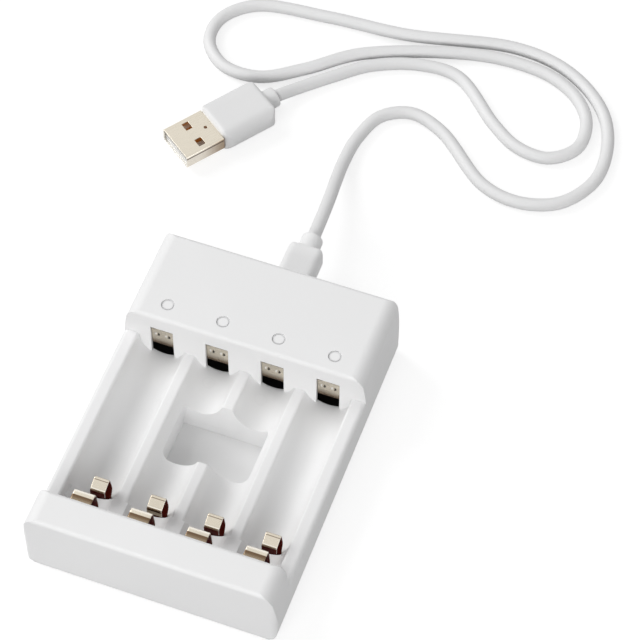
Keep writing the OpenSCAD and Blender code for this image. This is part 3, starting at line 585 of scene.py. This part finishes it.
def sheet_tree():
    """Tree that sweeps a flat strip with rounded edges along the path it is given, then presses up to two
    points into it and leaves a small tab on its end."""
    tree = bpy.data.node_groups.new("bent_strip", "GeometryNodeTree")
    face = tree.interface
    sizes = {}
    for kind, names in STRIP_INPUTS.items():
        for name in names:
            socket = face.new_socket(name=name, in_out="INPUT", socket_type="NodeSocket" + kind)
            sizes[name] = socket.identifier
    face.new_socket(name="Strip", in_out="OUTPUT", socket_type="NodeSocketGeometry")
    net = Net(tree)
    given = tree.nodes.new("NodeGroupInput")
    size = {socket.name: Signal(net, socket) for socket in given.outputs if socket.name}

    def keep(geometry, name, value):
        return net.node("GeometryNodeStoreNamedAttribute", {"data_type": "FLOAT", "domain": "POINT"},
                        {"Geometry": geometry, "Name": name, "Value": value})

    path = net.node("GeometryNodeMeshToCurve", {}, {"Mesh": size["Path"]})
    path = net.node("GeometryNodeFilletCurve", {"mode": "POLY"},
                    {"Curve": path, "Count": BEND_POINTS, "Radius": size["Bend"], "Limit Radius": True})
    path = net.node("GeometryNodeResampleCurve", {"mode": "LENGTH"}, {"Curve": path, "Length": size["Step"]})
    path = net.node("GeometryNodeSetCurveNormal", {"mode": "FREE"}, {"Curve": path, "Normal": (1, 0, 0)})
    path = keep(path, "along", net.node("GeometryNodeSplineParameter", output="Length"))
    outline = net.node("GeometryNodeCurvePrimitiveQuadrilateral", {},
                       {"Width": size["Width"], "Height": size["Sheet"]})
    outline = net.node("GeometryNodeFilletCurve", {"mode": "POLY"},
                       {"Curve": outline, "Count": CORNER_POINTS, "Radius": size["Sheet"] * CORNER_SHARE,
                        "Limit Radius": True})
    outline = keep(outline, "depth", net.parts(net.node("GeometryNodeInputPosition"))[1])
    outline = net.node("GeometryNodeResampleCurve", {"mode": "LENGTH"},
                       {"Curve": outline, "Length": size["Step"]})
    strip = net.node("GeometryNodeCurveToMesh", {},
                     {"Curve": path, "Profile Curve": outline, "Fill Caps": True})

    x, y, z = net.parts(net.node("GeometryNodeInputPosition"))
    half = net.node("ShaderNodeMath", {"operation": "SIGN"}, {0: x})
    beside = x - half * size["Point Offset"]
    upwards = z - size["Point Height"]
    away = (beside * beside + upwards * upwards) ** 0.5 / size["Point Radius"]
    rise = (1 - net.smooth(away, 0.1, 1.0)) * size["Point Rise"]
    side = beside / size["Point Radius"]
    tab = 1 - net.smooth(abs(x - size["Tab Place"]), size["Tab Width"] * 0.3, size["Tab Width"])
    lower = (size["Top"] + tab * size["Tab Rise"] - z).atmost(0.0)
    pointed = net.node("ShaderNodeMath", {"operation": "GREATER_THAN"}, {0: size["Point Rise"], 1: 0.0})
    flank = (1 - net.smooth(away, 0.75, 1.15)) * pointed
    # lit and shaded mark where the plates get a painted highlight and painted shade beside each point.
    strip = keep(strip, "lit", flank * (1 - net.smooth(side, -0.45, -0.05)))
    strip = keep(strip, "shaded", flank * net.smooth(side, 0.0, 0.5))
    push = net.node("ShaderNodeCombineXYZ", {}, {"Y": rise * -1.0, "Z": lower})
    strip = net.node("GeometryNodeSetPosition", {}, {"Geometry": strip, "Offset": push})
    strip = net.node("GeometryNodeTransform", {}, {"Geometry": strip, "Translation": size["Place"]})
    strip = net.node("GeometryNodeRealizeInstances", {}, {"Geometry": strip})
    strip = net.node("GeometryNodeSetMaterial", {}, {"Geometry": strip, "Material": size["Plating"]})
    end = tree.nodes.new("NodeGroupOutput")
    tree.links.new(strip.socket, end.inputs[0])
    return tree, sizes


STRIP_TREE, STRIP_SIZES = sheet_tree()


def bend_strip(name, path, body, node_name, plating, **sizes):
    """One strip of sheet metal that stands for the CAD's plain one. The path holds Y and Z in millimetres."""
    line = bpy.data.meshes.new(name + "_path")
    line.from_pydata([(0, y * MM, z * MM) for y, z in path], [(k, k + 1) for k in range(len(path) - 1)], [])
    former = bpy.data.objects.new(name + "_former", line)
    scene.collection.objects.link(former)
    bent = former.modifiers.new("bend", "NODES")
    bent.node_group = STRIP_TREE
    values = PLAIN_STRIP | {key.replace("_", " "): value for key, value in sizes.items()}
    for key, value in values.items():
        bent[STRIP_SIZES[key]] = (value * MM, 0.0, 0.0) if key == "Place" else float(value) * MM
    bent[STRIP_SIZES["Plating"]] = plating
    bpy.context.view_layer.update()
    graph = bpy.context.evaluated_depsgraph_get()
    mesh = bpy.data.meshes.new_from_object(former.evaluated_get(graph), preserve_all_data_layers=True,
                                           depsgraph=graph)
    mesh.name = name
    mesh.materials.clear()
    bpy.data.objects.remove(former)
    face_outwards(mesh)
    return new_piece(name, mesh, plating, body, "contact_nickel", node_name)


def behind_foot(path):
    return [(FOOT_BACK + y, z) for y, z in path]


for number, bay in enumerate(BAYS, 1):
    bend_strip(f"large_leaf_{number}", behind_foot(LARGE_LEAF), f"large_leaf_{number}",
               f"large_cell_leaf_{number}", large_leaf_nickel, Width=LARGE_LEAF_WIDTH,
               Place=bay + LARGE_LEAF_OFFSET)
    bend_strip(f"small_leaf_{number}", behind_foot(SMALL_LEAF), f"small_leaf_{number}",
               f"small_cell_leaf_{number}", small_leaf_nickel, Width=SMALL_LEAF_WIDTH,
               Place=bay + SMALL_LEAF_OFFSET)
    bend_strip(f"plus_plate_{number}", PLATE, "charger", f"plus_contact_{number}", plate_metal,
               Width=PLATE_WIDTH, Place=bay, Bend=0.5, Step=0.1, Point_Offset=1.4, Point_Height=13.9,
               Point_Radius=0.75, Point_Rise=0.3, Tab_Place=-1.1, Tab_Width=0.6, Tab_Rise=0.4, Top=16)


# Floor and light

FLOOR_REACH = 4.0
FOOTPRINT_SIDE, FOOTPRINT_END = (0.0300, 0.0305), (0.0435, 0.044)
TABLE_GREY, UNDER_GREY, SHOWN_GREY = (0.38, 0.38, 0.38), (0.80, 0.80, 0.80), (0.73, 0.73, 0.73)
AIR_LIGHT, AIR_SEEN = 0.42, 1.0


def seen_share(net):
    """1 for what the camera sees, straight or in a reflection or through something, and 0 for its light."""
    rays = net.node("ShaderNodeLightPath").socket.node
    share = Signal(net, rays.outputs["Is Camera Ray"]) + Signal(net, rays.outputs["Is Glossy Ray"])
    return share + Signal(net, rays.outputs["Is Transmission Ray"])


def lay_floor():
    """A pale floor that shows white but gives back no more light than a grey table does."""
    mesh = bpy.data.meshes.new("floor")
    corners = [(-FLOOR_REACH, -FLOOR_REACH, 0), (FLOOR_REACH, -FLOOR_REACH, 0),
               (FLOOR_REACH, FLOOR_REACH, 0), (-FLOOR_REACH, FLOOR_REACH, 0)]
    mesh.from_pydata(corners, [], [(0, 1, 2, 3)])
    floor = bpy.data.objects.new("floor", mesh)
    scene.collection.objects.link(floor)
    finish = Finish("floor", Roughness=0.9, Specular_IOR_Level=0.0, Emission_Strength=1.0)
    across, along = finish.parts(finish.place)[:2]
    under = 1 - finish.smooth(abs(across), *FOOTPRINT_SIDE)
    under = under * (1 - finish.smooth(abs(along), *FOOTPRINT_END))
    finish.set("Base Color", finish.mix(under, TABLE_GREY, UNDER_GREY))
    seen = (seen_share(finish) * (1 - under)).atmost(1.0)
    finish.set("Emission Color", finish.mix(seen, (0, 0, 0), SHOWN_GREY))
    mesh.materials.append(finish.material)


def set_world():
    world = bpy.data.worlds.new("studio")
    scene.world = world
    world.use_nodes = True
    net = Net(world.node_tree)
    back = world.node_tree.nodes["Background"]
    net.feed(back.inputs["Color"], (1, 1, 1))
    net.feed(back.inputs["Strength"], seen_share(net).atmost(1.0) * (AIR_SEEN - AIR_LIGHT) + AIR_LIGHT)


def soft_light(name, place, aim, width, height, watts):
    lamp = bpy.data.lights.new(name, "AREA")
    lamp.shape = "RECTANGLE"
    lamp.size, lamp.size_y = width, height
    lamp.energy = watts
    light = bpy.data.objects.new(name, lamp)
    scene.collection.objects.link(light)
    light.location = place
    light.rotation_mode = "QUATERNION"
    light.rotation_quaternion = (Vector(aim) - Vector(place)).to_track_quat("-Z", "Y")


lay_floor()
set_world()
soft_light("key_left", (-2.0, 0.5, 1.6), (0, 0.03, 0), 1.4, 1.8, 38)
soft_light("fill_front", (0, -1.2, 0.6), (0, 0, 0), 0.9, 0.6, 8.2)
soft_light("fill_right", (1.2, -0.2, 0.5), (0, 0, 0), 0.7, 0.5, 1.6)
scene.view_settings.view_transform = "Standard"
